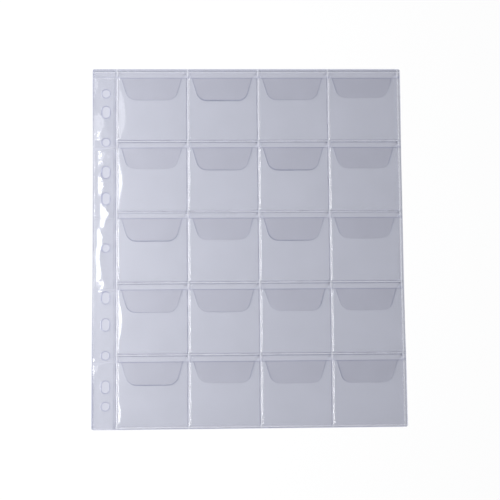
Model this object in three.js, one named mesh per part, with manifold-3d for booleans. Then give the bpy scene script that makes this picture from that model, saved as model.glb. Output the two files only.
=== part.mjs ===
// Coin album page: a clear soft film page with rows of square pockets, each closed by a flap.
// A full-size back sheet carries a header strip and one front strip for each row of pockets.
// The strips are welded to the back sheet round the pockets and lie loose on the punched margin.
// Each flap hangs from the strip above its pocket and tucks in behind the pocket's front film.
// Millimetres: X runs from the punched edge to the free edge, Y to the page's top edge, and Z up
// from the surface that the page lies on, with the origin below the middle of the page.

import * as THREE from "three";
import { mergeVertices } from "three/addons/utils/BufferGeometryUtils.js";
import Module from "manifold-3d";

// Pockets
const columns = 4;
const rows = 5;
const columnPitch = 55.2;
const rowPitch = 55.4;
const mouthDrop = 5.5;

// Page edges, each from the nearest weld's middle line
const punchedMargin = 19.4;
const freeMargin = 1.8;
const topMargin = 1.8;
const bottomMargin = 1.5;
const pageCornerRadius = 1.6;

// Film and welds
const filmThickness = 0.2;
const layerGap = 0.3;
const edgeGap = 0.3;
const weldWidth = 2;
const weldSlope = 1.6;

// Flaps
const flapReach = 23.4;
const flapTaper = 5.4;
const flapTipRadius = 8;
const flapPunchedSideGap = 0.3;
const flapFreeSideGap = 2.1;
const flapRootLand = 0.8;
const flapShoulder = 1.5;

// Punched holes, placed above and below the middle hole by their distance from it
const holeLine = 10.4;
const middleHoleDrop = 1;
const holeWidth = 6.4;
const longHoleLength = 9.4;
const roundHoleOffsets = [82.8, 121.4];
const longHoleOffsets = [38.4, 59.2, 106.7];

// Steps of the rounded forms, and the overrun of a cut past the film
const holeSteps = 24;
const cornerSteps = 5;
const cutOverrun = 1;

// Film colours
const backColour = 0xb4b5c6;
const headerColour = 0xc9c9d6;
const frontColour = 0xd3d3df;
const flapColour = 0xc0bfd2;
const filmRoughness = 0.18;
const filmOpacity = 0.6;

// Places worked out from the sizes above
const pageWidth = punchedMargin + columns * columnPitch + freeMargin;
const pageHeight = topMargin + rows * rowPitch + bottomMargin;
const left = -pageWidth / 2;
const right = pageWidth / 2;
const top = pageHeight / 2;
const bottom = -pageHeight / 2;
const halfWeld = weldWidth / 2;
const footLevel = filmThickness;
const flapLevel = footLevel + layerGap;
const frontLevel = flapLevel + filmThickness + layerGap;
const cutTop = frontLevel + filmThickness + cutOverrun;

// Middle line of an upright weld, counted from the punched margin
const weldX = (column) => left + punchedMargin + column * columnPitch;

// Middle line of a level weld, counted from the top edge
const weldY = (level) => top - topMargin - level * rowPitch;

// Top edge of the front film over a row of pockets
const mouthY = (row) => weldY(row) - mouthDrop;

const wasm = await Module();
wasm.setup();

// A solid with the given corners, as flat number lists
function solidOf(positions, triangles) {
  return new wasm.Manifold(new wasm.Mesh({
    numProp: 3,
    vertProperties: Float32Array.from(positions),
    triVerts: Uint32Array.from(triangles),
  }));
}

// A solid whose outline is drawn on XY and rises from one level to another
function prism(points, fromZ, toZ) {
  const shape = new THREE.Shape(points);
  const raised = new THREE.ExtrudeGeometry(shape, { depth: toZ - fromZ, bevelEnabled: false });
  raised.translate(0, 0, fromZ);
  raised.deleteAttribute("normal");
  raised.deleteAttribute("uv");
  const merged = mergeVertices(raised);
  return solidOf(merged.attributes.position.array, merged.index.array);
}

// An outline through corners given anticlockwise as [x, y, radius], with the radius left out where sharp
function outline(corners) {
  return corners.flatMap(([x, y, radius], i) => {
    const corner = new THREE.Vector2(x, y);
    if (!radius) {
      return [corner];
    }
    const [beforeX, beforeY] = corners.at(i - 1);
    const [afterX, afterY] = corners[(i + 1) % corners.length];
    const before = new THREE.Vector2(beforeX, beforeY).sub(corner).normalize();
    const after = new THREE.Vector2(afterX, afterY).sub(corner).normalize();
    const halfAngle = Math.acos(before.dot(after)) / 2;
    const toCentre = before.clone().add(after).setLength(radius / Math.sin(halfAngle));
    const toStart = before.clone().multiplyScalar(radius / Math.tan(halfAngle)).sub(toCentre);
    const turn = Math.PI - 2 * halfAngle;
    return Array.from({ length: cornerSteps + 1 }, (_, step) =>
      new THREE.Vector2(radius, 0)
        .rotateAround(new THREE.Vector2(), toStart.angle() + turn * step / cornerSteps)
        .add(corner)
        .add(toCentre));
  });
}

// A hole's outline: two half circles, drawn apart until the hole has its length
function holeOutline(x, y, length) {
  return Array.from({ length: holeSteps }, (_, step) => {
    const angle = 2 * Math.PI * (step + 1 / 2) / holeSteps;
    const stretch = Math.sign(Math.sin(angle)) * (length - holeWidth) / 2;
    return new THREE.Vector2(x, y + stretch).add(
      new THREE.Vector2(Math.cos(angle), Math.sin(angle)).multiplyScalar(holeWidth / 2));
  });
}

// The middles and lengths of all punched holes
function punchedHoles() {
  const middle = -middleHoleDrop;
  const mirrored = (offsets, length) =>
    offsets.flatMap((offset) => [[middle + offset, length], [middle - offset, length]]);
  return [
    [middle, holeWidth],
    ...mirrored(roundHoleOffsets, holeWidth),
    ...mirrored(longHoleOffsets, longHoleLength),
  ];
}

// Cuts the punched holes through a film
function punch(film) {
  const cutters = punchedHoles().map(([y, length]) =>
    prism(holeOutline(left + holeLine, y, length), -cutOverrun, cutTop));
  return cutters.reduce((cut, cutter) => cut.subtract(cutter), film);
}

// A film laid over grid lines, with its underside raised to each crossing's height
function layFilm(xs, ys, heightAt) {
  const under = ys.flatMap((y) => xs.map((x) => [x.at, y.at, heightAt(x, y)]));
  const over = under.map(([x, y, z]) => [x, y, z + filmThickness]);
  const lift = under.length;
  const across = xs.length;
  const triangles = [];
  const wall = (a, b) => triangles.push(a, b, b + lift, a, b + lift, a + lift);
  for (let j = 0; j + 1 < ys.length; j++) {
    for (let i = 0; i + 1 < across; i++) {
      const a = j * across + i;
      const [b, c, d] = [a + 1, a + 1 + across, a + across];
      const fold = Math.abs(under[a][2] - under[c][2]) >= Math.abs(under[b][2] - under[d][2]);
      const halves = fold ? [[a, b, c], [a, c, d]] : [[a, b, d], [b, c, d]];
      for (const [p, q, s] of halves) {
        triangles.push(p + lift, q + lift, s + lift, p, s, q);
      }
    }
  }
  for (let i = 0; i + 1 < across; i++) {
    wall(i, i + 1);
    wall(lift - 1 - i, lift - 2 - i);
  }
  for (let j = 0; j + 1 < ys.length; j++) {
    wall((ys.length - 1 - j) * across, (ys.length - 2 - j) * across);
    wall(j * across + across - 1, (j + 1) * across + across - 1);
  }
  return solidOf([...under, ...over].flat(), triangles);
}

// The part of a strip below its weld: its loose margin and its tails on the upright welds reach
// down to the next row's mouth, and the flaps' roots fill the notches between them
function notchedEdge(level) {
  const notch = weldY(level) - halfWeld;
  const tail = mouthY(level) + edgeGap;
  const corners = [[left, tail]];
  for (let column = 0; column < columns; column++) {
    const from = weldX(column) + halfWeld;
    const to = weldX(column + 1) - halfWeld;
    corners.push([from, tail], [from, notch], [to, notch], [to, tail]);
  }
  corners.push([right, tail]);
  return corners;
}

// Back sheet
function backSheet() {
  const sheet = outline([
    [left, bottom, pageCornerRadius],
    [right, bottom, pageCornerRadius],
    [right, top, pageCornerRadius],
    [left, top, pageCornerRadius],
  ]);
  return punch(prism(sheet, 0, filmThickness));
}

// Header strip, which carries the top row's flaps
function headerStrip() {
  const sheet = outline([
    ...notchedEdge(0),
    [right, top, pageCornerRadius],
    [left, top, pageCornerRadius],
  ]);
  return punch(prism(sheet, footLevel, footLevel + filmThickness));
}

// The flat window of a front film over one pocket, from its lower slope up to the given height
function windowOutline(row, column, upperEdge) {
  const from = weldX(column) + halfWeld + weldSlope;
  const to = weldX(column + 1) - halfWeld - weldSlope;
  const lowerEdge = weldY(row + 1) + halfWeld + weldSlope;
  return outline([[from, lowerEdge], [to, lowerEdge], [to, upperEdge], [from, upperEdge]]);
}

function pocketWindow(row, column) {
  return prism(windowOutline(row, column, mouthY(row)), frontLevel, frontLevel + filmThickness);
}

// Front strip: lies on the back sheet at the margin and the welds, and slopes up to each window.
// The windows are parts of the same film, kept apart so that each pocket stays open behind them.
function frontStrip(row) {
  const lowest = row + 1 < rows ? mouthY(row + 1) : bottom;
  const footTop = weldY(row + 1) + halfWeld;
  const xs = [{ at: left, raised: false }];
  for (let column = 0; column < columns; column++) {
    const from = weldX(column) + halfWeld;
    const to = weldX(column + 1) - halfWeld;
    xs.push(
      { at: from, raised: false },
      { at: from + weldSlope, raised: true },
      { at: to - weldSlope, raised: true },
      { at: to, raised: false });
  }
  xs.push({ at: right, raised: false });
  const ys = [
    { at: lowest, raised: false },
    { at: footTop, raised: false },
    { at: footTop + weldSlope, raised: true },
    { at: mouthY(row), raised: true },
  ];
  const film = layFilm(xs, ys, (x, y) => (x.raised && y.raised ? frontLevel : footLevel));
  const lowerEdge = row + 1 < rows
    ? notchedEdge(row + 1)
    : [[left, bottom, pageCornerRadius], [right, bottom, pageCornerRadius]];
  const sheet = outline([...lowerEdge, [right, mouthY(row)], [left, mouthY(row)]]);
  let strip = film.intersect(prism(sheet, 0, cutTop));
  for (let column = 0; column < columns; column++) {
    strip = strip.subtract(prism(windowOutline(row, column, mouthY(row) + cutOverrun), 0, cutTop));
  }
  return punch(strip);
}

// Flap, drawn from its pocket's punched-side weld and from its root on the weld above
function flap() {
  const rootFrom = halfWeld + edgeGap;
  const rootTo = columnPitch - halfWeld - edgeGap;
  const mouthFrom = halfWeld + weldSlope + flapPunchedSideGap;
  const mouthTo = columnPitch - halfWeld - weldSlope - flapFreeSideGap;
  const mouth = halfWeld - mouthDrop;
  const tip = halfWeld - flapReach;
  const sheet = outline([
    [rootTo, 0],
    [rootFrom, 0],
    [rootFrom, -flapShoulder],
    [mouthFrom, mouth],
    [mouthFrom + flapTaper, tip, flapTipRadius],
    [mouthTo - flapTaper, tip, flapTipRadius],
    [mouthTo, mouth],
    [rootTo, -flapShoulder],
  ]);
  const xs = [{ at: 0 }, { at: columnPitch }];
  const ys = [
    { at: tip - cutOverrun, level: flapLevel },
    { at: mouth + edgeGap, level: flapLevel },
    { at: -flapRootLand, level: footLevel },
    { at: 0, level: footLevel },
  ];
  return layFilm(xs, ys, (x, y) => y.level).intersect(prism(sheet, 0, cutTop));
}

// A named mesh of clear film
function filmMesh(name, solid, colour) {
  const { vertProperties, triVerts } = solid.getMesh();
  const geometry = new THREE.BufferGeometry();
  geometry.setAttribute("position", new THREE.BufferAttribute(vertProperties, 3));
  geometry.setIndex(new THREE.BufferAttribute(triVerts, 1));
  geometry.computeVertexNormals();
  const material = new THREE.MeshStandardMaterial({
    color: colour,
    roughness: filmRoughness,
    metalness: 0,
    transparent: true,
    opacity: filmOpacity,
  });
  const mesh = new THREE.Mesh(geometry, material);
  mesh.name = name;
  return mesh;
}

// The page
const page = new THREE.Group();
page.add(filmMesh("back_sheet", backSheet(), backColour));
page.add(filmMesh("header_strip", headerStrip(), headerColour));
for (let row = 0; row < rows; row++) {
  page.add(filmMesh(`front_strip_${row + 1}`, frontStrip(row), frontColour));
  for (let column = 0; column < columns; column++) {
    page.add(filmMesh(`pocket_window_r${row + 1}_c${column + 1}`, pocketWindow(row, column), frontColour));
    const tongue = filmMesh(`flap_r${row + 1}_c${column + 1}`, flap(), flapColour);
    tongue.position.set(weldX(column), weldY(row) - halfWeld, 0);
    page.add(tongue);
  }
}

export default page;
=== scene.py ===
"""Coin album page in clear soft film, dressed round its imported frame.

Metres, in the frame's axes: X runs from the punched edge to the free edge, Y to the page's top
edge and Z up from the surface that the page lies on.
"""

import logging
import math
from collections.abc import Callable, Iterable, Iterator
from contextlib import contextmanager
from dataclasses import KW_ONLY, dataclass, field
from enum import Enum, IntEnum

import bpy
import numpy as np
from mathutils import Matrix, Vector

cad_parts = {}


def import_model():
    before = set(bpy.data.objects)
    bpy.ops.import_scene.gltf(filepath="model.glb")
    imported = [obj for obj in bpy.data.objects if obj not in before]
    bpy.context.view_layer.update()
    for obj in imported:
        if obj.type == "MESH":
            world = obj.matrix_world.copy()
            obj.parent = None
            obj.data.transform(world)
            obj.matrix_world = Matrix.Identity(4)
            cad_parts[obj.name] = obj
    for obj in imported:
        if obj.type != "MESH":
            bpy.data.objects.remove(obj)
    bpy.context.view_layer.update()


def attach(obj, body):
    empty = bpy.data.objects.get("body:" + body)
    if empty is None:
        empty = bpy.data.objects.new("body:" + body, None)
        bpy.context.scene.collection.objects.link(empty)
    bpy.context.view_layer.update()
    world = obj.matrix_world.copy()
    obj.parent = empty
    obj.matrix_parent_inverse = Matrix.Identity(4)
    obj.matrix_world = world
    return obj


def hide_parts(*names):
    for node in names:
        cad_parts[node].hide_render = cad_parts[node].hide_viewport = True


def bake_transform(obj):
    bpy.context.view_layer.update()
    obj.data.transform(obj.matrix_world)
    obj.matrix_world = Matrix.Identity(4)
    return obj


Array = np.ndarray
Height = Callable[[Array, Array], Array]
Pair = tuple[float, float]
Triple = tuple[float, float, float]
Socket = bpy.types.NodeSocket
Piece = bpy.types.Object

MM = 0.001
TOUCH = 1e-6  # places nearer than this are the same

log = logging.getLogger("album_page")


class Slot(Enum):
    """Material slots of the record, one for each kind of film."""

    BACK = "back_film"
    FRONT = "front_film"
    FLAP = "flap_film"


class Mark(Enum):
    """What a film's points carry for its finish, from 0 to 1."""

    PRESSED = "pressed"
    # Painted shade in lines beside the welds, along the flaps' folds and along the punched edge.
    CREASE = "crease"
    # Painted shade along the films' cut edges.
    CUT_EDGE = "cut_edge"


class Pick(Enum):
    """What of a mesh is picked out by its place."""

    FACES = "FACE"
    POINTS = "VERT"


class Seed(IntEnum):
    """First of the seeds from which the films' waves and lies are drawn."""

    COCKLE = 40
    CRINKLE = 60
    SLACK = 80
    GAPE = 100
    FLAP_WAVES = 200
    FLAP_LIE = 1000


# ---------------------------------------------------------------- helpers


def spaced(start: float, stop: float, step: float) -> list[float]:
    """Spreads places evenly from start to stop."""
    count = max(1, math.ceil((stop - start) / step - 1e-6))
    return [start + (stop - start) * i / count for i in range(count + 1)]


def sorted_out(places: Iterable[float], low: float, high: float) -> list[float]:
    """Sorts the places between two limits, each of them once."""
    return sorted({round(place, 6) for place in places if low < place < high})


def points_of(piece: Piece) -> Array:
    """Gives a piece's points, one row of x, y and z for each.

    Args:
        piece: A mesh object.

    Returns:
        One row of x, y and z for each point.
    """
    flat = np.empty(len(piece.data.vertices) * 3)
    piece.data.vertices.foreach_get("co", flat)
    return flat.reshape(-1, 3)


def move_points(piece: Piece, points: Array) -> None:
    """Puts a piece's points at new places."""
    piece.data.vertices.foreach_set("co", points.ravel())
    piece.data.update()


def take(piece: Piece) -> None:
    """Makes a piece the only one in hand.

    Args:
        piece: A mesh object.
    """
    bpy.ops.object.select_all(action="DESELECT")
    piece.select_set(True)
    bpy.context.view_layer.objects.active = piece


@contextmanager
def editing(
    piece: Piece, wanted: Callable[[Vector], bool] | None = None, pick: Pick = Pick.FACES
) -> Iterator[int]:
    """Opens a piece in edit mode with what is wanted of it selected, and closes it again.

    Args:
        piece: A mesh object.
        wanted: Tells whether what is at this place is selected. Without it, all is.
        pick: What is selected.

    Yields:
        How many faces or points are selected.
    """
    take(piece)
    bpy.ops.object.mode_set(mode="EDIT")
    bpy.ops.mesh.select_mode(type=pick.value)
    bpy.ops.mesh.select_all(action="DESELECT" if wanted else "SELECT")
    found = []
    if wanted:
        bpy.ops.object.mode_set(mode="OBJECT")
        if pick is Pick.FACES:
            found = [face for face in piece.data.polygons if wanted(face.center)]
        else:
            found = [point for point in piece.data.vertices if wanted(point.co)]
        for part in found:
            part.select = True
        bpy.ops.object.mode_set(mode="EDIT")
    yield len(found)
    bpy.ops.object.mode_set(mode="OBJECT")


def set_place(piece: Piece) -> None:
    """Works a piece's place and scale into its mesh, so that its own place is the origin."""
    take(piece)
    bpy.ops.object.transform_apply(location=True, rotation=True, scale=True)


def named(piece: Piece, name: str) -> Piece:
    """Names a piece and its mesh."""
    piece.name = piece.data.name = name
    return piece


def sheet(name: str, west: float, south: float, east: float, north: float, z: float = 0) -> Piece:
    """Lays a flat rectangle between four edges.

    Args:
        name: The piece's name.
        west: Its lowest x.
        south: Its lowest y.
        east: Its highest x.
        north: Its highest y.
        z: Its height.

    Returns:
        The new piece, with its own place at the origin.
    """
    bpy.ops.mesh.primitive_plane_add(size=1, location=((west + east) / 2, (south + north) / 2, z))
    piece = named(bpy.context.object, name)
    piece.scale = (east - west, north - south, 1)
    set_place(piece)
    return piece


def twin(piece: Piece, name: str) -> Piece:
    """Makes a copy of a piece with its own mesh.

    Args:
        piece: A mesh object.
        name: The copy's name.

    Returns:
        The copy.
    """
    take(piece)
    bpy.ops.object.duplicate()
    return named(bpy.context.object, name)


def eased(share: Array) -> Array:
    """Turns a straight run from 0 to 1 into one with soft ends."""
    kept = np.clip(share, 0, 1)
    return kept * kept * (3 - 2 * kept)


@dataclass(frozen=True)
class Band:
    """A soft band along a line on the film: a rim, or a mark such as a line of painted shade.

    Args:
        place: How far it lies from the line.
        width: How wide it is.
        strength: Its height or share in its middle.
    """

    place: float
    width: float
    strength: float = 1.0

    def near(self, away: Array) -> Array:
        """Gives its height or share at distances from the line."""
        return self.strength * np.exp(-(((away - self.place) / self.width) ** 2))

    def nearest(self, at: Array, places: Iterable[float]) -> Array:
        """Gives the greatest of such bands along several lines."""
        return np.maximum.reduce([self.near(at - place) for place in places])


@dataclass
class Nodes:
    """The shader of a material or of the world, put together node by node.

    Args:
        owner: The material or the world.
    """

    owner: bpy.types.Material | bpy.types.World

    def __post_init__(self) -> None:
        """Starts with no nodes."""
        self.owner.use_nodes = True
        self.owner.node_tree.nodes.clear()

    def add(self, kind: str, *first: object, **others: object) -> bpy.types.Node:
        """Adds a node.

        Args:
            kind: Its type, without the usual start of the name.
            first: What goes into its first inputs: a socket, a number or a colour.
            others: The same for inputs by name, or else the node's own settings.

        Returns:
            The new node.
        """
        tree = self.owner.node_tree
        node = tree.nodes.new("ShaderNode" + kind)
        for key in [key for key in others if hasattr(node, key)]:
            setattr(node, key, others.pop(key))
        for key, value in [*enumerate(first), *others.items()]:
            if isinstance(value, Socket):
                tree.links.new(value, node.inputs[key])
            elif isinstance(value, tuple) and node.inputs[key].type == "RGBA":
                node.inputs[key].default_value = (*value, 1)
            elif value is not None:
                node.inputs[key].default_value = value
        return node

    def math(self, operation: str, *values: Socket | float) -> Socket:
        """Works out a number and gives the output."""
        return self.add("Math", *values, operation=operation).outputs[0]

    def mix(self, share: Socket, first: Socket, second: Socket) -> Socket:
        """Mixes two shaders by a share and gives the output."""
        return self.add("MixShader", share, first, second).outputs[0]

    def blend(self, share: Socket, first: Socket | Triple, second: Triple) -> Socket:
        """Blends two colours by a share and gives the output."""
        unused = [None] * 5  # the inputs for numbers and vectors
        return self.add("Mix", share, *unused, first, second, data_type="RGBA").outputs[2]

    def finish(self, kind: str, surface: Socket) -> None:
        """Ends the shader in an output of a kind."""
        self.add(kind, Surface=surface)


# ---------------------------------------------------------------- sizes of the page


@dataclass(frozen=True)
class PageLayout:
    """Places of the page's edges, welds, mouths and holes, as in the frame."""

    columns: int = 4
    rows: int = 5
    column_pitch: float = 0.0552
    row_pitch: float = 0.0554
    mouth_drop: float = 0.0055
    punched_margin: float = 0.0194
    free_margin: float = 0.0018
    top_margin: float = 0.0018
    bottom_margin: float = 0.0015
    corner_radius: float = 0.0016
    film: float = 0.0002
    half_weld: float = 0.001
    edge_gap: float = 0.0003
    hole_line: float = 0.0104
    middle_hole_drop: float = 0.001
    hole_radius: float = 0.0032
    long_hole: float = 0.0094
    round_offsets: tuple[float, ...] = (0.0828, 0.1214)
    long_offsets: tuple[float, ...] = (0.0384, 0.0592, 0.1067)

    @property
    def left(self) -> float:
        """The punched edge."""
        return -(self.punched_margin + self.columns * self.column_pitch + self.free_margin) / 2

    @property
    def right(self) -> float:
        """The free edge."""
        return -self.left

    @property
    def top(self) -> float:
        """The page's top edge."""
        return (self.top_margin + self.rows * self.row_pitch + self.bottom_margin) / 2

    @property
    def bottom(self) -> float:
        """The page's bottom edge."""
        return -self.top

    @property
    def uprights(self) -> list[float]:
        """Middle lines of the upright welds, from the punched margin on."""
        first = self.left + self.punched_margin
        return [first + self.column_pitch * column for column in range(self.columns + 1)]

    @property
    def levels(self) -> list[float]:
        """Middle lines of the level welds, from the top."""
        first = self.top - self.top_margin
        return [first - self.row_pitch * row for row in range(self.rows + 1)]

    def mouth(self, row: int) -> float:
        """Gives the free top edge of a row's front film."""
        return self.levels[row] - self.mouth_drop

    def in_notch(self, at: Vector, weld: float) -> bool:
        """Tells whether a place is one where flaps hang from a film's lower edge.

        Args:
            at: The place.
            weld: Middle line of the film's level weld.

        Returns:
            True below the weld and between two upright welds.
        """
        if at.y > weld - self.half_weld or not self.uprights[0] <= at.x < self.uprights[-1]:
            return False
        return all(abs(at.x - upright) > self.half_weld for upright in self.uprights)

    @property
    def holes(self) -> list[Pair]:
        """Each hole's middle height on the page, and how far its round ends lie from there.

        Returns:
            One pair for each hole.
        """
        middle = -self.middle_hole_drop
        long = self.long_hole / 2 - self.hole_radius
        found = [(middle, 0.0)]
        for offsets, stretch in ((self.round_offsets, 0.0), (self.long_offsets, long)):
            found += [(middle + side * offset, stretch) for offset in offsets for side in (1, -1)]
        return found


@dataclass(frozen=True)
class Ripple:
    """Uneven waves in soft film, the same in each run.

    Args:
        seed: Start of the chance numbers.
        length: Typical distance from crest to crest.
        height: Typical height of a crest.
        parts: How many plain waves are laid over each other.
        spread: Their least and greatest length, as shares of the typical one.
    """

    seed: int
    length: float
    height: float
    parts: int = 9
    spread: Pair = (0.6, 1.7)

    def at(self, x: Array, y: Array) -> Array:
        """Gives the waves' height at places on the page.

        Args:
            x: Places on the page, along X.
            y: The same places, along Y.

        Returns:
            The height at each place.
        """
        chance = np.random.default_rng(self.seed)
        total = np.zeros_like(x)
        for _ in range(self.parts):
            turn = chance.uniform(0, math.tau)
            number = math.tau / (self.length * chance.uniform(*self.spread))
            shift = chance.uniform(0, math.tau)
            total += np.sin(number * (x * math.cos(turn) + y * math.sin(turn)) + shift)
        return self.height * total / math.sqrt(self.parts)


@dataclass(frozen=True)
class Swell:
    """A place where film stands up in a gentle slope that faces the punched edge.

    Args:
        middle: Its middle height on the page.
        half_length: How far it runs each way.
        start: Where the slope starts, from the line that it follows.
        stop: Where the slope ends.
        tilt: Rise of the slope for its width.
        ends: Share of the middle's height below which there is none, and the reach from there.
        least_fall: Shortest distance over which the film comes down again.
    """

    middle: float
    half_length: float
    start: float
    stop: float
    tilt: float = 0.17
    ends: Pair = (0.2, 0.4)
    least_fall: float = 0.0001

    def height(self, away: Array, y: Array, lapse: float, wobble: Array) -> Array:
        """Gives the swell's height.

        Args:
            away: Distance from the line that the swell follows.
            y: Height on the page.
            lapse: Distance from the line at which the film is down again.
            wobble: Uneven share, round 1, by which the swell's width strays.

        Returns:
            The height that the swell adds.
        """
        near = Band(self.middle, self.half_length).near(y) * wobble
        width = np.maximum((self.stop - self.start) * near, TOUCH)
        up = eased((away - self.start) / width)
        fall = np.maximum(lapse - self.start - width, self.least_fall)
        down = 1 - eased((away - self.start - width) / fall)
        least, reach = self.ends
        return self.tilt * width * up * down * eased((near - least) / reach)


@dataclass(frozen=True)
class Lie:
    """How the films lie: heights of their middle surfaces over the table."""

    layout: PageLayout = PageLayout()
    back: float = 0.0001  # the back sheet's middle surface over the table
    foot: float = 0.00034  # a front film's, pressed on the back sheet
    flap: float = 0.00062  # a flap's, behind its front film
    window: float = 0.00112  # a front film's, over a pocket
    weld_shift: float = -0.0003  # of the valley from its weld's middle line
    crossing: Band = Band(0.0, 0.0018, -0.0003)  # the same shift at a level weld
    weld_sway: Ripple = Ripple(17, 0.04, 0.00008)
    weld_land: float = 0.00035  # half the valley's floor
    weld_reach: float = 0.0005
    weld_power: float = 1.35  # of the film's rise beside it
    gape: float = 0.0004  # of a pocket's film
    punched_rim: Band = Band(0.0022, 0.0006, 0.00011)  # from the page's punched edge
    end_rim: Band = Band(0.0007, 0.0004, 0.0001)  # from its top and bottom edges
    margin_lapse: float = 0.0165  # where film is down again from a swell
    lean_lapse: float = 0.035
    # Where up the page the long edges are drawn in, and how far.
    free_draws: tuple[Band, ...] = (Band(-0.014, 0.042, 0.0016), Band(0.070, 0.030, 0.0004))
    punched_draw: Band = Band(0.020, 0.070, 0.0006)
    free_reach: Pair = (0.098, 0.120)  # from and to which x the free edge gives way
    punched_reach: float = 0.012
    swell_wobble: Ripple = Ripple(31, 0.006, 0.26)
    lean_wobble: Ripple = Ripple(33, 0.02, 0.1)
    wobble_slant: float = 0.5  # how much the swells' wobble goes by x
    wobble_limits: Pair = (0.4, 1.5)
    # Where the punched margin stands up.
    swells: tuple[Swell, ...] = (
        Swell(0.1270, 0.0065, 0.0008, 0.0050, 0.08),
        Swell(0.0930, 0.0130, 0.0010, 0.0096, 0.078),
        Swell(0.0700, 0.0070, 0.0025, 0.0130, 0.056),
        Swell(0.0480, 0.0070, 0.0038, 0.0090),
        Swell(0.0250, 0.0090, 0.0054, 0.0116),
        Swell(0.0030, 0.0115, 0.0030, 0.0090),
        Swell(-0.0160, 0.0135, 0.0024, 0.0070),
        Swell(-0.0290, 0.0055, 0.0040, 0.0108, 0.085),
        Swell(-0.0930, 0.0075, 0.0008, 0.0044, 0.074),
    )
    # How far each row's upper edge hangs down at the punched edge.
    joint_drops: tuple[float, ...] = (0.0, 0.0023, 0.0004, 0.0006, 0.0030)
    # How far each row's level weld lies from its place.
    strays: tuple[float, ...] = (0.0, -0.0004, 0.0, 0.0, 0.0)
    # Where the first column's film leans up from its weld.
    leans: tuple[Swell, ...] = (
        Swell(0.1030, 0.0200, 0.0010, 0.0072, 0.085),
        Swell(0.0520, 0.0140, 0.0012, 0.0044, 0.20),
        Swell(-0.0580, 0.0130, 0.0012, 0.0042, 0.20),
        Swell(-0.1290, 0.0095, 0.0010, 0.0036, 0.20),
    )

    def risen(self, away: Array, reach: float) -> Array:
        """Gives how far film has risen from a weld, from 0 to 1."""
        beyond = np.maximum(away - self.weld_land, 0) / reach
        return 1 - np.exp(-(beyond**self.weld_power))

    def upright_shift(self, y: Array) -> Array:
        """Gives how far an upright weld's valley strays from its middle line at a height."""
        crossings = sum(self.crossing.near(y - level) for level in self.layout.levels)
        return self.weld_shift + crossings + self.weld_sway.at(0 * y, y)

    def leaning(self, from_left: Array, y: Array) -> Array:
        """Gives how far the first column's film leans up beside its weld."""
        wobble = 1 + self.lean_wobble.at(0 * y, y)
        return sum(swell.height(from_left, y, self.lean_lapse, wobble) for swell in self.leans)

    def margin_wave(self, x: Array, y: Array) -> Array:
        """Gives how far the loose front film stands up on the punched margin.

        Args:
            x: Places on the page, along X.
            y: The same places, along Y.

        Returns:
            The height at each place.
        """
        away = x - self.layout.left
        wobble = np.clip(1 + self.swell_wobble.at(self.wobble_slant * x, y), *self.wobble_limits)
        return sum(swell.height(away, y, self.margin_lapse, wobble) for swell in self.swells)

    def edge_rim(self, x: Array, y: Array) -> Array:
        """Gives the rounded rim that the outer welds leave along the page's edges.

        Args:
            x: Places on the page, along X.
            y: The same places, along Y.

        Returns:
            The height at each place.
        """
        layout = self.layout
        ends = self.end_rim.near(np.minimum(layout.top - y, y - layout.bottom))
        return np.maximum(self.punched_rim.near(x - layout.left), ends)

    def drawn_in(self, x: Array, y: Array) -> Array:
        """Gives how far the long edges are drawn in, most at the middle of their height.

        Args:
            x: Places on the page, along X.
            y: The same places, along Y.

        Returns:
            The shift at each place, towards lower x.
        """
        start, stop = self.free_reach
        east = sum(draw.near(y) for draw in self.free_draws) * eased((x - start) / (stop - start))
        near_west = 1 - eased((x - self.layout.left) / self.punched_reach)
        return east - self.punched_draw.near(y) * near_west


# ---------------------------------------------------------------- finishes


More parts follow.
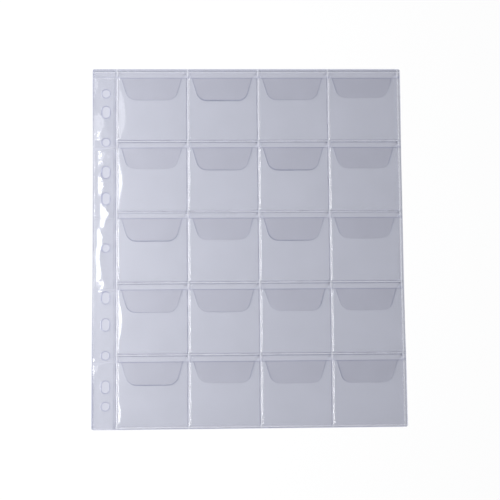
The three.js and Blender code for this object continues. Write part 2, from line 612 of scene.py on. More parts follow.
@dataclass(frozen=True)
class FilmFinish:
    """Clear soft vinyl: tinted a little where it is seen through, with a broken gloss."""

    name: str
    tint: Triple
    weld_tint: Triple = (1.0, 1.0, 1.0)
    # Colour of the painted shade lines beside welds and folds.
    painted_shade_tint: Triple = (0.68, 0.69, 0.74)
    # Colour of the painted shade along cut edges.
    edge_shade_tint: Triple = (0.84, 0.85, 0.91)
    haze: float = 0.01  # share scattered
    frost: float = 0.3  # besides, by a weld
    haze_colour: Triple = (0.88, 0.89, 0.95)
    gloss: float = 0.03  # share mirrored straight on
    gleam_roughness: Pair = (0.09, 0.02)  # how much it varies, and the least
    sheen_roughness: float = 0.42
    sheen_share: Pair = (-0.5, 0.46)  # by how far it faces away, and straight on
    cockle: float = 0.00008  # height of the fine waves
    skin: float = 0.000004  # height of the grain
    skin_strength: float = 0.25
    # Scale, detail and roughness of the noises for the waves, the grain and the clouds.
    noises: tuple[Triple, ...] = ((70.0, 2.0, 0.45), (1400.0, 1.0, 0.5), (38.0, 3.0, 0.6))
    cloud_tint: float = 0.98  # share of the tint that a cloud leaves
    steepness: float = 5.0  # power of the gloss by how far the film faces away
    seed: float = 0.0  # shifts the waves, so that two films differ
    seed_slant: float = 0.37  # how much it shifts them along Y

    def material(self) -> bpy.types.Material:
        """Builds the finish.

        Returns:
            A new material.
        """
        nodes = Nodes(bpy.data.materials.new(self.name))
        place = nodes.add("TexCoord").outputs["Object"]
        shift = (self.seed, self.seed_slant * self.seed, 0)
        place = nodes.add("Mapping", place, Location=shift).outputs["Vector"]
        cockle, skin, cloud = (
            nodes.add("TexNoise", place, Scale=scale, Detail=detail, Roughness=rough).outputs[0]
            for scale, detail, rough in self.noises
        )
        wavy = nodes.add("Bump", Strength=1.0, Distance=self.cockle, Height=cockle)
        waves = {"Height": skin, "Normal": wavy.outputs["Normal"]}
        grainy = nodes.add("Bump", Strength=self.skin_strength, Distance=self.skin, **waves)
        normal = grainy.outputs["Normal"]

        pressed, crease, edge = (
            nodes.add("Attribute", attribute_name=mark.value).outputs["Fac"] for mark in Mark
        )
        tint = self.tint
        # The tint varies at random with the clouds, clears where pressed, and darkens in painted
        # shade beside welds and folds and along cut edges.
        for share, colour in (
            (cloud, tuple(part * self.cloud_tint for part in self.tint)),
            (pressed, self.weld_tint),
            (crease, self.painted_shade_tint),
            (edge, self.edge_shade_tint),
        ):
            tint = nodes.blend(share, tint, colour)
        clear = nodes.add("BsdfTransparent", Color=tint).outputs[0]
        haze = nodes.add("BsdfDiffuse", Color=self.haze_colour, Normal=normal).outputs[0]
        body = nodes.mix(nodes.math("MULTIPLY_ADD", pressed, self.frost, self.haze), clear, haze)

        spread = nodes.math("MULTIPLY_ADD", cloud, *self.gleam_roughness)
        white = {"Color": (1.0, 1.0, 1.0), "Normal": normal}
        gleam, sheen = (
            nodes.add("BsdfAnisotropic", Roughness=rough, **white).outputs[0]
            for rough in (spread, self.sheen_roughness)
        )
        facing = nodes.add("LayerWeight", Blend=0.5, Normal=normal).outputs["Facing"]
        shine = nodes.mix(nodes.math("MULTIPLY_ADD", facing, *self.sheen_share), gleam, sheen)
        steep = nodes.math("POWER", facing, self.steepness)
        share = nodes.math("MULTIPLY_ADD", steep, 1 - self.gloss, self.gloss)
        nodes.finish("OutputMaterial", nodes.mix(share, body, shine))
        return nodes.owner


CLEAR = (0.994, 0.995, 0.998)
BACK_FILM = FilmFinish("back_film_vinyl", tint=CLEAR)
FRONT_FILM = FilmFinish("front_film_vinyl", tint=CLEAR, seed=1.7)
FLAP_FILM = FilmFinish(
    "flap_film_vinyl",
    tint=(0.980, 0.979, 0.986),
    # Darker painted shade along the flaps' cut edges.
    edge_shade_tint=(0.79, 0.80, 0.85),
    frost=0.0,
    seed=3.1,
)


# ---------------------------------------------------------------- films


@dataclass
class Film:
    """A film that is laid flat, cut, given its lie and then its thickness.

    Args:
        name: The piece's name.
        lie: How the films lie.
        finish: The film's material.
        slot: The record's slot for it. Not used.
        crease_angle: Widest angle in degrees between faces that are smoothed together.
    """

    name: str
    lie: Lie
    finish: bpy.types.Material
    slot: Slot
    _: KW_ONLY
    crease_angle: float = 50
    piece: Piece | None = field(default=None, init=False)

    @property
    def layout(self) -> PageLayout:
        """The page's places."""
        return self.lie.layout

    def cut(self, uprights: Iterable[float], levels: Iterable[float]) -> None:
        """Cuts lines across the film, so that it can bend there.

        Args:
            uprights: Places of the upright lines.
            levels: Places of the level lines.
        """
        planes = [((x, 0, 0), (1, 0, 0)) for x in uprights]
        planes += [((0, y, 0), (0, 1, 0)) for y in levels]
        with editing(self.piece):
            for place, normal in planes:
                bpy.ops.mesh.select_all(action="SELECT")
                bpy.ops.mesh.bisect(plane_co=place, plane_no=normal)

    def remove(self, unwanted: Callable[[Vector], bool]) -> None:
        """Removes the faces whose middles are unwanted.

        Args:
            unwanted: Tells whether a face with this middle goes.
        """
        with editing(self.piece, unwanted) as found:
            if found:
                bpy.ops.mesh.delete(type="FACE")

    def round_corners(self, corners: Iterable[Pair], offset: float) -> None:
        """Rounds the film's corners at these places.

        Args:
            corners: The corners.
            offset: How far from a corner the rounding starts.
        """
        places = [Vector((x, y, 0)) for x, y in corners]

        def near(at: Vector) -> bool:
            """Tells whether a point is one of the corners."""
            return any((at - place).length < TOUCH for place in places)

        with editing(self.piece, near, Pick.POINTS):
            bpy.ops.mesh.bevel(offset=offset, segments=5, affect="VERTICES")

    def thicken(self) -> None:
        """Gives the film its thickness, half to each side, and smooths it."""
        with editing(self.piece):
            bpy.ops.mesh.remove_doubles(threshold=2 * TOUCH)
            bpy.ops.mesh.normals_make_consistent(inside=False)
        wall = self.piece.modifiers.new("thickness", "SOLIDIFY")
        wall.thickness = self.layout.film
        wall.offset = 0
        bpy.ops.object.modifier_apply(modifier=wall.name)
        bpy.ops.object.shade_smooth_by_angle(angle=math.radians(self.crease_angle))

    def mark(self, kind: Mark, value: Height) -> None:
        """Writes a mark for the finish on the film's points.

        Args:
            kind: Which mark.
            value: Gives its share at places on the page.
        """
        points = points_of(self.piece)
        layer = self.piece.data.attributes.new(kind.value, "FLOAT", "POINT")
        shares = np.clip(value(points[:, 0], points[:, 1]), 0, 1)
        layer.data.foreach_set("value", shares.astype(np.float32))

    def dress(self, *nodes: str) -> None:
        """Gives the film its material and hides the frame nodes that it stands for.

        Args:
            nodes: The nodes' names.
        """
        self.piece.data.materials.clear()
        self.piece.data.materials.append(self.finish)
        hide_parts(*nodes)
        log.info("%s: %d faces", self.piece.name, len(self.piece.data.polygons))


@dataclass
class PunchedHoles:
    """The row of ring holes, and the pressed rims round them."""

    layout: PageLayout
    rims: tuple[float, ...] = (0.0, 0.0003, 0.0007, 0.0012)  # distances of the rings from an edge
    rim: Band = Band(0.0, 0.0006, 0.00005)
    steps: int = 40
    sag: float = 0.00001  # how far a ring's straight sides lie inside its circle
    cutter: Pair = (-0.001, 0.004)  # lowest and highest level

    def _wall(self, y: float, stretch: float, radius: float) -> Piece:
        """Stands a thin wall on one ring.

        Args:
            y: Height of the hole's middle on the page.
            stretch: How far the hole's two round ends lie from its middle.
            radius: The ring's radius at those ends.

        Returns:
            The wall.
        """
        x = self.layout.left + self.layout.hole_line
        low, high = self.cutter
        bpy.ops.mesh.primitive_circle_add(vertices=self.steps, radius=radius, location=(x, y, low))
        wall = bpy.context.object
        set_place(wall)
        for side in (1, -1):
            with editing(wall, lambda at: (at.y - y) * side > TOUCH, Pick.POINTS):
                bpy.ops.transform.translate(value=(0, stretch * side, 0))
        with editing(wall, pick=Pick.POINTS):
            bpy.ops.mesh.extrude_region_move(TRANSFORM_OT_translate={"value": (0, 0, high - low)})
            bpy.ops.mesh.select_all(action="SELECT")
        return wall

    def away(self, x: Array, y: Array) -> Array:
        """Gives the distance from the nearest hole's edge, below 0 inside a hole.

        Args:
            x: Places on the page, along X.
            y: The same places, along Y.

        Returns:
            The distance of each place.
        """
        layout = self.layout
        nearest = np.full_like(x, 1.0)
        for middle, stretch in layout.holes:
            off = np.maximum(np.abs(y - middle) - stretch, 0)
            to_middle = np.hypot(x - layout.left - layout.hole_line, off)
            nearest = np.minimum(nearest, to_middle - layout.hole_radius)
        return nearest

    def raised(self, x: Array, y: Array) -> Array:
        """Gives how far the punch raises the film near the holes."""
        return self.rim.near(np.maximum(self.away(x, y), 0))

    def punch(self, film: Film, south: float, north: float) -> None:
        """Marks the rings on a flat film and opens the holes.

        Args:
            film: The film, laid and cut.
            south: Its lowest edge.
            north: Its highest edge.
        """
        walls = []
        radius = self.layout.hole_radius
        for y, stretch in self.layout.holes:
            length = 2 * (stretch + radius)
            if south - length < y < north + length:
                walls += [self._wall(y, stretch, radius + rim) for rim in self.rims]
        if not walls:
            return
        with editing(film.piece):
            bpy.ops.mesh.select_all(action="DESELECT")
        for wall in walls:
            wall.select_set(True)
        bpy.ops.object.join()
        bpy.ops.object.mode_set(mode="EDIT")
        bpy.ops.mesh.select_mode(type="FACE")
        bpy.ops.mesh.intersect(mode="SELECT_UNSELECT", separate_mode="NONE", solver="EXACT")
        bpy.ops.object.mode_set(mode="OBJECT")
        film.remove(lambda at: abs(at.z) > TOUCH)
        film.remove(lambda at: self.away(np.array([at.x]), np.array([at.y]))[0] < -self.sag)


@dataclass
class CutLines:
    """Where a film is cut into faces: close by the welds and wider between them."""

    layout: PageLayout
    # Millimetres from a weld.
    near_weld: tuple[float, ...] = (0.25, 0.5, 0.75, 1.0, 1.25, 1.5, 1.8, 2.2, 2.7, 3.3, 4.0)
    pocket_step: float = 0.0027
    margin_step: float = 0.0009
    first_step: float = 0.0002  # from the punched edge

    def beside(self, middle: float) -> list[float]:
        """Gives the lines along a weld and on both sides of it."""
        offsets = [MM * side * away for away in self.near_weld for side in (1, -1)]
        return [middle, *(middle + offset for offset in offsets)]

    def uprights(self, notched: bool = False) -> list[float]:
        """Gives the upright lines of a film as wide as the page.

        Args:
            notched: Whether there are lines along the sides of the notches for the flaps.

        Returns:
            The lines' places.
        """
        layout = self.layout
        reach = MM * self.near_weld[-1]
        found = spaced(layout.left + self.first_step, layout.uprights[0] - reach, self.margin_step)
        for weld in layout.uprights:
            found += self.beside(weld)
            if notched:
                found += [weld + side * layout.half_weld for side in (1, -1)]
        for first, second in zip(layout.uprights, layout.uprights[1:]):
            found += spaced(first + reach, second - reach, self.pocket_step)
        return sorted_out(found, layout.left, layout.right)


@dataclass
class PageFilm(Film):
    """A film that is welded into the page, with ring holes through its margin."""

    holes: PunchedHoles
    cuts: CutLines
    _: KW_ONLY
    # Painted shade along the cut edges.
    edge_mark: Band = Band(0.0, 0.00025)
    joint_share: float = 0.15  # of the edge's mark, on the margin
    joint_drop: float = 0.0  # of the upper edge at the punched edge
    joint_reach: float = 0.009
    # Painted shade lines beside the upright welds and along the punched edge.
    upright_shade_line: Band = Band(-0.0009, 0.00023)
    outline_shade_line: Band = Band(0.0009, 0.0003, 0.5)
    upright_core: Band = Band(0.0, 0.0006)
    level_core: Band = Band(-0.0004, 0.0004)
    south: float = field(init=False)
    north: float = field(init=False)

    def blank(self, levels: Iterable[float], weld: float | None = None) -> None:
        """Lays the flat film and cuts it into faces.

        Args:
            levels: Places of the level lines.
            weld: The level weld from which flaps hang, if any.
        """
        layout = self.layout
        self.piece = sheet(self.name, layout.left, self.south, layout.right, self.north)
        ends = {self.south, self.north} & {layout.bottom, layout.top}
        if ends:
            corners = [(x, y) for x in (layout.left, layout.right) for y in ends]
            self.round_corners(corners, layout.corner_radius)
        notched = weld is not None
        if notched:
            levels = [*levels, weld - layout.half_weld]
        self.cut(self.cuts.uprights(notched), sorted_out(levels, self.south, self.north))
        if notched:
            self.remove(lambda at: layout.in_notch(at, weld))

    def finish_off(self, marks: dict[Mark, Height], *nodes: str) -> None:
        """Punches the flat film, gives it its lie and dresses it.

        Args:
            marks: What its points carry for the finish, besides the cut edges.
            nodes: The frame nodes that it stands for.
        """
        self.holes.punch(self, self.south, self.north)
        points = points_of(self.piece)
        points[:, 1] -= self.joint_gap(points[:, 0], points[:, 1])
        x, y = points[:, 0].copy(), points[:, 1]
        points[:, 2] += self.height(x, y) + self.holes.raised(x, y)
        points[:, 0] -= self.lie.drawn_in(x, y)
        move_points(self.piece, points)
        self.thicken()
        for kind, value in (marks | {Mark.CUT_EDGE: self.edge}).items():
            self.mark(kind, value)
        self.dress(*nodes)
        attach(self.piece, "page")

    def height(self, x: Array, y: Array) -> Array:
        """Gives the film's height over the table."""
        raise NotImplementedError

    def inner(self, x: Array) -> Array:
        """Tells which places lie among the pockets, not on the punched margin."""
        return x > self.layout.uprights[0] - self.layout.half_weld

    def joint_gap(self, x: Array, y: Array) -> Array:
        """Gives how far the film's top edge hangs down on the punched margin.

        Args:
            x: Places on the page, along X.
            y: The same places, along Y.

        Returns:
            The distance at each place.
        """
        layout = self.layout
        loose = layout.punched_margin - layout.half_weld
        across = eased((layout.left + loose - x) / loose)
        return self.joint_drop * across * (1 - eased((self.north - y) / self.joint_reach))

    def under_edge(self, x: Array, y: Array) -> Array:
        """Gives how far a place is from the top edge, as it hangs down."""
        return self.north - y - self.joint_gap(x, np.full_like(y, self.north))

    def edge(self, x: Array, y: Array) -> Array:
        """Gives the painted shade along cut edges, fainter where the film is jointed on the margin.

        Args:
            x: Places on the page, along X.
            y: The same places, along Y.

        Returns:
            The share at each place, from 0 to 1.
        """
        layout = self.layout
        sides = (x - layout.left, layout.right - x, layout.top - y, y - layout.bottom)
        joint = np.minimum(self.under_edge(x, y), y - self.south)
        kept = np.where(x > layout.uprights[0], 1.0, self.joint_share)
        free = np.minimum.reduce([*sides, self.holes.away(x, y)])
        marks = [self.edge_mark.near(np.maximum(away, 0)) for away in (free, joint)]
        return np.maximum(marks[0], kept * marks[1])


@dataclass
class BackSheet(PageFilm):
    """The full-size back film with the punched margin."""

    pillow: float = 0.00016
    pillow_reach: float = 0.006
    pillow_power: float = 0.7
    upright_core: Band = Band(0.0, 0.0008, 0.5)
    level_core: Band = Band(0.0, 0.0007, 0.5)
    # Distances of lines from a level weld.
    beside_level: tuple[float, ...] = (0.0, 0.0004, 0.0009, 0.0016, 0.0026)
    face_step: float = 0.0027

    def build(self) -> None:
        """Builds the sheet."""
        layout = self.layout
        self.south, self.north = layout.bottom, layout.top
        reach = self.beside_level[-1]
        levels = []
        for weld in layout.levels:
            levels += [weld + side * away for away in self.beside_level for side in (1, -1)]
        for first, second in zip(layout.levels, layout.levels[1:]):
            levels += spaced(second + reach, first - reach, self.face_step)
        self.blank(levels)
        self.finish_off({Mark.PRESSED: self.pressed}, "back_sheet")

    def height(self, x: Array, y: Array) -> Array:
        """Gives the sheet's height over the table.

        Args:
            x: Places on the page, along X.
            y: The same places, along Y.

        Returns:
            The height at each place.
        """
        layout = self.layout
        from_margin = x - layout.uprights[0]
        inner = np.clip(from_margin / self.pillow_reach, 0, 1)
        across = np.sin(math.pi * (from_margin % layout.column_pitch) / layout.column_pitch)
        along = np.sin(math.pi * ((layout.levels[0] - y) % layout.row_pitch) / layout.row_pitch)
        return self.lie.back + self.pillow * inner * np.abs(across * along) ** self.pillow_power

    def pressed(self, x: Array, y: Array) -> Array:
        """Gives how much a weld has pressed the sheet."""
        level = self.inner(x) * self.level_core.nearest(y, self.layout.levels)
        return np.maximum(self.upright_core.nearest(x, self.layout.uprights), level)


@dataclass
class FrontStrip(PageFilm):
    """One row's front film: loose on the margin, pressed at the welds, raised over each pocket."""

    row: int
    above_weld: Pair = (0.004, 0.0024)  # limits of the even faces, from weld and mouth
    face_step: float = 0.0025
    # Distances of lines below the mouth.
    below_mouth: tuple[float, ...] = (0.0002, 0.00045, 0.0008, 0.00125, 0.0018)
    # Painted shade lines beside the level weld, beside the first upright weld on the margin and
    # below the mouth.
    level_shade_lines: tuple[Band, ...] = (Band(0.00025, 0.00022, 0.85), Band(-0.0009, 0.00022, 0.8))
    last_shade_lines: tuple[Band, ...] = (Band(-0.0007, 0.00022, 0.95),)
    margin_shade_line: Band = Band(-0.0022, 0.0003, 0.35)
    mouth_shade_line: Band = Band(0.0002, 0.00028, 0.4)
    joint_frost: Band = Band(0.0003, 0.0004, 0.6)
    patches: Ripple = Ripple(21, 0.012, 1.0)
    patchiness: float = 0.2  # share of the painted shade lines that comes and goes
    gape_share: Pair = (0.5, 1.1)  # least and greatest
    gape_rise: Pair = (0.3, 1.5)  # share at the level weld, and the power towards the mouth
    lip: Pair = (0.00018, 0.0009)  # height and reach
    cockle: Pair = (0.02, 0.00004)  # length and height of its waves
    crinkle: Pair = (0.008, 0.000006)  # the same of its small waves
    slack: Triple = (0.00004, 0.016, 0.00005)  # height, and its waves' length and height
    slack_from: Pair = (0.002, 0.003)  # distance from the first weld, and reach

    def __post_init__(self) -> None:
        """Works out the strip's edges and how far each pocket's film bulges."""
        layout, row = self.layout, self.row
        self.last = row + 1 == layout.rows
        self.south = layout.bottom if self.last else layout.mouth(row + 1) + layout.edge_gap
        self.north = layout.mouth(row)
        self.weld = layout.levels[row + 1]
        self.strayed = self.weld + self.lie.strays[row]
        self.shade_lines = self.last_shade_lines if self.last else self.level_shade_lines
        self.joint_drop = self.lie.joint_drops[row]
        chance = np.random.default_rng(Seed.GAPE + row)
        self.gapes = chance.uniform(*self.gape_share, layout.columns)

    def lay(self) -> None:
        """Lays the flat strip and cuts it into faces."""
        low, high = self.above_weld
        levels = [y for y in self.cuts.beside(self.weld) if y < self.weld + low + TOUCH]
        levels += spaced(self.weld + low, self.north - high, self.face_step)
        levels += [self.north - down for down in self.below_mouth]
        self.blank(levels, None if self.last else self.weld)

    def copy(self, first: "FrontStrip") -> None:
        """Copies another row's flat strip to this row's place.

        Args:
            first: The other row's strip.
        """
        self.piece = twin(first.piece, self.name)
        self.piece.location.y = self.north - first.north
        set_place(self.piece)

    def build(self) -> None:
        """Finishes the flat strip."""
        row, columns = self.row + 1, range(1, self.layout.columns + 1)
        windows = [f"pocket_window_r{row}_c{column}" for column in columns]
        marks = {Mark.PRESSED: self.pressed, Mark.CREASE: self.crease}
        self.finish_off(marks, f"front_strip_{row}", *windows)

    def height(self, x: Array, y: Array) -> Array:
        """Gives the strip's height over the table.

        Args:
            x: Places on the page, along X.
            y: The same places, along Y.

        Returns:
            The height at each place.
        """
        layout, lie, row = self.layout, self.lie, self.row
        first, pitch = layout.uprights[0], layout.column_pitch
        east = x - first - lie.upright_shift(y)
        column = np.clip((east // pitch).astype(int), 0, layout.columns - 1)
        from_left, up = east - pitch * column, y - self.weld
        share = lie.risen(from_left, lie.weld_reach) * lie.risen(pitch - from_left, lie.weld_reach)
        share = share * lie.risen(up, lie.weld_reach)
        share = np.where((east > 0) & (east < pitch * layout.columns), share, 0)
        u = np.clip(from_left / pitch, 0, 1)
        v = np.clip(up / (self.north - self.weld), 0, 1)
        least, power = self.gape_rise
        along = least + (1 - least) * v**power
        gape = lie.gape * self.gapes[column] * 4 * u * (1 - u) * along
        rise, reach = self.lip
        lip = rise * np.exp(-np.maximum(self.north - y, 0) / reach)
        cockle = Ripple(Seed.COCKLE + row, *self.cockle).at(x, y)
        cockle = cockle + Ripple(Seed.CRINKLE + row, *self.crinkle).at(x, y)
        lean = np.where(column == 0, lie.leaning(from_left, y), 0)
        start, reach = self.slack_from
        loose = np.clip((first - start - x) / reach, 0, 1)
        least, length, waves = self.slack
        slack = loose * (least + np.abs(Ripple(Seed.SLACK + row, length, waves).at(x, y)))
        standing = lie.window - lie.foot + gape + lip + cockle + lean
        return lie.foot + share * standing + lie.margin_wave(x, y) + slack + lie.edge_rim(x, y)

    def pressed(self, x: Array, y: Array) -> Array:
        """Gives how much a weld has pressed the strip.

        Args:
            x: Places on the page, along X.
            y: The same places, along Y.

        Returns:
            The share at each place, from 0 to 1.
        """
        uprights = self.upright_core.nearest(x - self.lie.upright_shift(y), self.layout.uprights)
        level = self.inner(x) * self.level_core.near(y - self.strayed)
        joint = self.joint_frost.near(np.minimum(self.north - y, y - self.south))
        return np.maximum.reduce([uprights, level, (1 - self.inner(x)) * joint])

    def crease(self, x: Array, y: Array) -> Array:
        """Gives the painted shade lines beside the welds, below the mouth and along the punched
        edge.

        Args:
            x: Places on the page, along X.
            y: The same places, along Y.

        Returns:
            The share at each place, from 0 to 1.
        """
        uprights, inner = self.layout.uprights, self.inner(x)
        east = x - self.lie.upright_shift(y)
        shade_lines = [shade_line.near(y - self.strayed) for shade_line in self.shade_lines]
        shade_lines.append(self.mouth_shade_line.near(self.under_edge(x, y)))
        shade_lines = [inner * share for share in shade_lines]
        shade_lines.append(self.margin_shade_line.near(east - uprights[0]))
        shade_lines.append(self.upright_shade_line.nearest(east, uprights[:-1]))
        shade_lines.append(self.outline_shade_line.near(x - self.layout.left))
        kept = 1 - self.patchiness + self.patchiness * self.patches.at(x, y)
        return np.maximum.reduce(shade_lines) * kept


@dataclass
class HeaderStrip(PageFilm):
    """The narrow film across the top edge, which carries the top row's flaps."""

    ridge: Pair = (0.00012, 0.0004)  # height and reach
    # Painted shade line beside the level weld.
    level_shade_line: Band = Band(0.0001, 0.00024, 0.85)
    shade_line_end: float = 0.0004  # where the upright painted shade lines end below the weld
    level_core: Band = Band(-0.0007, 0.0004)
    # Millimetres above the weld.
    beside_weld: tuple[float, ...] = (
        *(-3.6, -2.8, -2, -1.4, -0.6, -0.3),
        *(0, 0.3, 0.6, 0.9, 1.2, 1.5),
    )

    def __post_init__(self) -> None:
        """Works out the strip's edges."""
        self.south = self.layout.mouth(0) + self.layout.edge_gap
        self.north = self.layout.top
        self.weld = self.layout.levels[0]

    def build(self) -> None:
        """Builds the strip."""
        self.blank([self.weld + MM * away for away in self.beside_weld], self.weld)
        self.finish_off({Mark.PRESSED: self.pressed, Mark.CREASE: self.crease}, "header_strip")

    def height(self, x: Array, y: Array) -> Array:
        """Gives the strip's height over the table.

        Args:
            x: Places on the page, along X.
            y: The same places, along Y.

        Returns:
            The height at each place.
        """
        lie = self.lie
        height, reach = self.ridge
        ridge = height * lie.risen(np.abs(y - self.weld), reach)
        return lie.foot + ridge + lie.margin_wave(x, y) + lie.edge_rim(x, y)

    def pressed(self, x: Array, y: Array) -> Array:
        """Gives how much a weld has pressed the strip."""
        uprights = self.upright_core.nearest(x - self.lie.weld_shift, self.layout.uprights)
        return np.maximum(self.level_core.near(y - self.weld), uprights)

    def crease(self, x: Array, y: Array) -> Array:
        """Gives the painted shade lines beside the welds and along the punched edge.

        Args:
            x: Places on the page, along X.
            y: The same places, along Y.

        Returns:
            The share at each place, from 0 to 1.
        """
        east = x - self.lie.upright_shift(y)
        uprights = self.upright_shade_line.nearest(east, self.layout.uprights[:-1])
        outline = self.outline_shade_line.near(x - self.layout.left)
        level = self.level_shade_line.near(y - self.weld)
        return np.maximum.reduce([outline, (y < self.weld - self.shade_line_end) * uprights, level])


@dataclass
class FlapMaster(Film):
    """The tongue that closes a pocket, modelled once and copied for every pocket."""

    root_from: float = 0.0013
    root_to: float = 0.0539
    root: float = -0.001
    shoulder: float = -0.0025
    mouth_from: float = 0.0029
    mouth_to: float = 0.0505
    mouth: float = -0.0055
    tip: float = -0.0234
    taper: float = 0.0054
    tip_radius: float = 0.008
    # Widths of the rings inside the border.
    rings: tuple[float, ...] = (0.0002, 0.00022, 0.00028, 0.0004, 0.0006)
    # Millimetres below the weld.
    below_root: tuple[float, ...] = (1.25, 1.5, 1.8, 2.2, 2.6, 3.1, 3.7, 4.4, 5.2, 6.0)
    level_lines: Triple = (0.0012, -0.0068, 0.0013)  # distance over the tip, highest place and step
    upright_lines: Pair = (0.0016, 0.0022)  # distance from the ends, and step
    border: Array | None = field(default=None, init=False)

    def build(self) -> None:
        """Builds the flat tongue with rings along its border."""
        self.piece = sheet(self.name, self.root_from, self.tip, self.root_to, self.root)
        self.cut((), (self.shoulder, self.mouth))
        tips = (self.mouth_from + self.taper, self.mouth_to - self.taper)
        self._narrow(self.mouth, self.mouth_from, self.mouth_to)
        self._narrow(self.tip, *tips)
        half = (math.pi / 2 + math.atan(self.taper / (self.mouth - self.tip))) / 2
        self.round_corners([(x, self.tip) for x in tips], self.tip_radius / math.tan(half))
        with editing(self.piece):
            bpy.ops.mesh.dissolve_faces()
        mesh = self.piece.data
        self.border = np.array([mesh.vertices[i].co[:2] for i in mesh.polygons[0].vertices])
        with editing(self.piece):
            for ring in self.rings:
                bpy.ops.mesh.inset(thickness=ring)
        above_tip, highest, step = self.level_lines
        levels = spaced(self.tip + above_tip, highest, step)
        levels += [-MM * down for down in self.below_root]
        inside, step = self.upright_lines
        self.cut(spaced(self.root_from + inside, self.root_to - inside, step), sorted(levels))

    def _narrow(self, y: float, west: float, east: float) -> None:
        """Moves the two ends of a level line to new places.

        Args:
            y: The level line's place.
            west: The lower end's new x.
            east: The higher end's new x.
        """
        for x, goal in ((self.root_from, west), (self.root_to, east)):
            end = Vector((x, y, 0))
            with editing(self.piece, lambda at: (at - end).length < TOUCH, Pick.POINTS):
                bpy.ops.transform.translate(value=(goal - x, 0, 0))

    def from_border(self, x: Array, y: Array) -> Array:
        """Gives the distance from the flap's free border, with the root's line left out.

        Args:
            x: Places on the page, along X.
            y: The same places, along Y.

        Returns:
            The distance of each place.
        """
        nearest = np.full_like(x, 1.0)
        for start, end in zip(self.border, np.roll(self.border, -1, axis=0)):
            if min(start[1], end[1]) > self.root - TOUCH:
                continue
            side = end - start
            along = ((x - start[0]) * side[0] + (y - start[1]) * side[1]) / (side @ side)
            foot = np.clip(along, 0, 1)
            away = np.hypot(x - start[0] - foot * side[0], y - start[1] - foot * side[1])
            nearest = np.minimum(nearest, away)
        return nearest


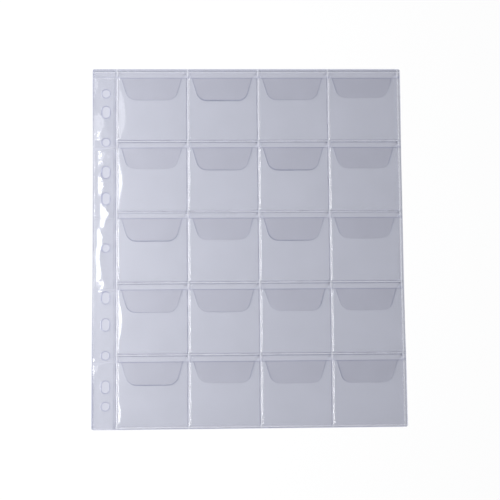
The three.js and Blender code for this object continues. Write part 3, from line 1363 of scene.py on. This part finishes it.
@dataclass
class Flap(Film):
    """One pocket's tongue, which hangs from the weld above it and tucks in behind the film."""

    row: int
    column: int
    master: FlapMaster
    # How far each pocket's tongue hangs down, row by row.
    drops: tuple[tuple[float, ...], ...] = (
        (-0.0004, 0.0009, -0.0002, -0.0017),
        (-0.0011, -0.0001, 0.0001, -0.0008),
        (0.0004, -0.0005, -0.0002, -0.0015),
        (0.0001, -0.0006, -0.0005, -0.0010),
        (0.0, -0.0012, -0.0005, -0.0003),
    )
    sway: Pair = (-0.0005, 0.0005)  # least and greatest shift of the tip
    bow: Pair = (-0.0003, 0.0005)  # the same for the sag of the tip's middle
    curl: Pair = (0.0, 0.00022)  # the same for the tip's height
    sway_power: float = 1.5  # of the shift towards the tip
    drop_power: float = 3
    rise: Triple = (0.0001, 0.0016, 1.4)  # where it starts, its reach and its power
    showing: Pair = (0.001, 0.003)  # where the rim starts below the mouth, and its reach
    rim: Band = Band(0.0005, 0.00035, 0.00003)
    waves: Pair = (0.017, 0.00002)  # length and height
    root_weld: Triple = (0.7, 0.0002, 0.0006)  # strength, shift and width of its mark
    # Painted shade along the fold below the weld.
    root_painted_shade: Band = Band(-0.00035, 0.00025, 0.42)
    # Painted shade along the border, fuller on the side towards the lamps.
    border: Band = Band(0.0, 0.0004)
    free_share: float = 0.75  # of the border's painted shade on the free side, away from the lamps
    hidden_share: float = 0.35  # and above the mouth
    hidden_reach: float = 0.001

    def build(self) -> None:
        """Copies the master tongue, and gives it its own lie and place."""
        self.piece = twin(self.master.piece, self.name)
        flat = points_of(self.piece)
        place = Vector((self.layout.uprights[self.column], self.layout.levels[self.row], 0))
        move_points(self.piece, self.lying(flat) + np.array(place))
        self.thicken()
        self._mark_at(place)
        body = f"flap_r{self.row + 1}_c{self.column + 1}"
        hinge = self.layout.levels[self.row] - self.layout.half_weld
        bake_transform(self.piece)
        self.dress(body)

    def lying(self, flat: Array) -> Array:
        """Gives where the flat tongue's points lie.

        Args:
            flat: The tongue's points, laid flat.

        Returns:
            The points as they lie, still in the pocket's own place.
        """
        cut, lie = self.master, self.lie
        chance = np.random.default_rng(Seed.FLAP_LIE + 10 * self.row + self.column)
        sway, bow, curl = (chance.uniform(*span) for span in (self.sway, self.bow, self.curl))
        down = cut.root - flat[:, 1]
        along = np.clip(down / (cut.root - cut.tip), 0, 1)
        half = (cut.mouth_to - cut.mouth_from) / 2
        across = (flat[:, 0] - cut.mouth_from - half) / half
        lying = flat.copy()
        lying[:, 0] += sway * along**self.sway_power
        drop = self.drops[self.row][self.column] + bow * (1 - across**2)
        lying[:, 1] -= drop * along**self.drop_power
        start, reach, power = self.rise
        rise = 1 - np.exp(-((np.maximum(down - start, 0) / reach) ** power))
        start, reach = self.showing
        showing = eased((cut.mouth - start - flat[:, 1]) / reach)
        rim = showing * self.rim.near(self.master.from_border(*flat[:, :2].T))
        waves = Ripple(Seed.FLAP_WAVES + 10 * self.row + self.column, *self.waves)
        lying[:, 2] = lie.foot + (lie.flap - lie.foot) * rise + curl * along**2 + rim
        lying[:, 2] += rise * waves.at(flat[:, 0], flat[:, 1])
        return lying

    def _mark_at(self, place: Vector) -> None:
        """Marks the weld and the painted shade at the flap's root, and the painted shade along its
        border.

        Args:
            place: The pocket's own place.
        """
        cut = self.master

        def weld(x: Array, y: Array) -> Array:
            """Gives how much the weld above has pressed the flap."""
            strength, shift, width = self.root_weld
            return strength * eased((y - place.y - cut.mouth + shift) / width)

        def crease(x: Array, y: Array) -> Array:
            """Gives the painted shade along the fold below the weld, which the top row's flaps
            don't show.
            """
            return (self.row > 0) * self.root_painted_shade.near(y - place.y - cut.root)

        def border(x: Array, y: Array) -> Array:
            """Gives the painted shade along the border, lighter on the free side away from the
            lamps and above the mouth.

            Args:
                x: Places on the page, along X.
                y: The same places, along Y.

            Returns:
                The share at each place, from 0 to 1.
            """
            side = np.where(x - place.x < self.layout.column_pitch / 2, 1.0, self.free_share)
            under = eased((place.y + cut.mouth - y) / self.hidden_reach)
            near = self.border.near(self.master.from_border(x - place.x, y - place.y))
            return side * (self.hidden_share + (1 - self.hidden_share) * under) * near

        for kind, value in zip(Mark, (weld, crease, border)):
            self.mark(kind, value)


# ---------------------------------------------------------------- surroundings


@dataclass(frozen=True)
class Softbox:
    """A soft lamp that faces the page."""

    name: str
    place: Triple
    size: Pair
    power: float
    level: bool = False  # hangs level, or else faces the page

    def hang(self) -> None:
        """Hangs the lamp."""
        light = bpy.data.lights.new(self.name, "AREA")
        light.shape = "RECTANGLE"
        light.size, light.size_y = self.size
        light.energy = self.power
        lamp = bpy.data.objects.new(self.name, light)
        bpy.context.scene.collection.objects.link(lamp)
        lamp.location = self.place
        if not self.level:
            lamp.rotation_euler = (-Vector(self.place)).to_track_quat("-Z", "Y").to_euler()


@dataclass
class Studio:
    """The pale floor with a painted shadow under the page, the soft lamps and the camera at the
    photograph's angle.
    """

    layout: PageLayout = PageLayout()
    paper: Triple = (0.93, 0.93, 0.94)
    paper_glow: float = 0.88  # share seen as plain white
    # Painted shadow under the page: a lavender-grey patch of the page's outline, set in from it.
    painted_page_shadow: Triple = (0.514, 0.522, 0.592)
    painted_shadow_inset: float = 0.0003  # from the page's outline
    floor_drop: float = 0.0002
    floor_half: float = 6
    sky: float = 0.24
    sky_colour: Triple = (0.97, 0.98, 1.0)
    lamps: tuple[Softbox, ...] = (
        Softbox("key_softbox", (-0.55, 0.03, 0.70), (0.46, 0.56), 8.4),
        Softbox("canopy_softbox", (-0.725, 0.25, 1.4), (0.75, 1.1), 6.5, level=True),
    )
    camera_at: Triple = (-0.0337, -0.0963, 0.9143)
    camera_turn: Triple = (5.84, -2.12, -0.556)  # in degrees, as is the angle
    view_angle: float = 23.82
    film_bounces: int = 24

    def build(self) -> None:
        """Sets the surroundings up."""
        self._floor()
        for lamp in self.lamps:
            lamp.hang()
        self._sky()
        self._camera()
        scene = bpy.context.scene
        scene.view_settings.view_transform = "Standard"
        scene.cycles.transparent_max_bounces = self.film_bounces

    def _floor(self) -> None:
        """Lays the floor, with a painted lavender-grey shadow under the page."""
        half = self.floor_half
        floor = sheet("studio_floor", -half, -half, half, half, -self.floor_drop)
        nodes = Nodes(bpy.data.materials.new("floor_paper_and_painted_shadow"))
        # Painted shadow: a darker diffuse floor colour under the page only.
        painted_shadow = nodes.add("BsdfDiffuse", Color=self.painted_page_shadow).outputs[0]
        shader = nodes.mix(self._under_page(nodes), self._paper(nodes), painted_shadow)
        nodes.finish("OutputMaterial", shader)
        floor.data.materials.append(nodes.owner)

    def _paper(self, nodes: Nodes) -> Socket:
        """Makes matt paper, of which rays from the camera or by gloss see a share as white.

        Args:
            nodes: The floor's nodes.

        Returns:
            The paper's shader.
        """
        ray = nodes.add("LightPath").outputs
        seen = nodes.math("MAXIMUM", ray["Is Camera Ray"], ray["Is Glossy Ray"])
        seen = nodes.math("MAXIMUM", seen, ray["Is Transmission Ray"])
        matt = nodes.add("BsdfDiffuse", Color=self.paper).outputs[0]
        white = nodes.add("Emission", Color=(1.0, 1.0, 1.0), Strength=1.0).outputs[0]
        return nodes.mix(nodes.math("MULTIPLY", seen, self.paper_glow), matt, white)

    def _under_page(self, nodes: Nodes) -> Socket:
        """Tells whether a place on the floor lies under the page.

        Args:
            nodes: The floor's nodes.

        Returns:
            1 under the page and 0 elsewhere.
        """
        place = nodes.add("SeparateXYZ", nodes.add("TexCoord").outputs["Object"]).outputs
        inside = [
            nodes.math("LESS_THAN", nodes.math("ABSOLUTE", place[axis]), half - self.painted_shadow_inset)
            for axis, half in (("X", self.layout.right), ("Y", self.layout.top))
        ]
        return nodes.math("MULTIPLY", *inside)

    def _sky(self) -> None:
        """Gives soft light from all round, and a white background to the camera."""
        scene = bpy.context.scene
        scene.world = scene.world or bpy.data.worlds.new("studio")
        nodes = Nodes(scene.world)
        soft = nodes.add("Background", Color=self.sky_colour, Strength=self.sky).outputs[0]
        white = nodes.add("Background", Color=(1.0, 1.0, 1.0), Strength=1.0).outputs[0]
        seen = nodes.add("LightPath").outputs["Is Camera Ray"]
        nodes.finish("OutputWorld", nodes.mix(seen, soft, white))

    def _camera(self) -> None:
        """Hangs the camera over the page, as the photograph was taken."""
        lens = bpy.data.cameras.new("photo_camera")
        lens.angle = math.radians(self.view_angle)
        lens.clip_start = 0.01
        camera = bpy.data.objects.new("photo_camera", lens)
        bpy.context.scene.collection.objects.link(camera)
        camera.location = self.camera_at
        camera.rotation_euler = [math.radians(turn) for turn in self.camera_turn]
        bpy.context.scene.camera = camera


# ---------------------------------------------------------------- the page


@dataclass
class AlbumPage:
    """The whole page, built film by film from the back."""

    lie: Lie = field(default_factory=Lie)

    def build(self) -> None:
        """Builds every film of the page."""
        layout = self.lie.layout
        back, front, flap = (finish.material() for finish in (BACK_FILM, FRONT_FILM, FLAP_FILM))
        shared = (PunchedHoles(layout), CutLines(layout))
        BackSheet("film_back", self.lie, back, Slot.BACK, *shared).build()
        shared = (self.lie, front, Slot.FRONT, *shared)
        HeaderStrip("film_header", *shared).build()
        strips = [FrontStrip(f"film_strip_{row + 1}", *shared, row) for row in range(layout.rows)]
        strips[0].lay()
        strips[-1].lay()
        for strip in strips[1:-1]:
            strip.copy(strips[0])
        for strip in strips:
            strip.build()
        shared = (self.lie, flap, Slot.FLAP)
        master = FlapMaster("tongue", *shared)
        master.build()
        for row in range(layout.rows):
            for column in range(layout.columns):
                Flap(f"tongue_r{row + 1}_c{column + 1}", *shared, row, column, master).build()
        bpy.data.objects.remove(master.piece)


def main() -> None:
    """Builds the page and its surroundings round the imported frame."""
    logging.basicConfig(level=logging.INFO, format="%(message)s")
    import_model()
    Studio().build()
    AlbumPage().build()


if __name__ == "__main__":
    main()
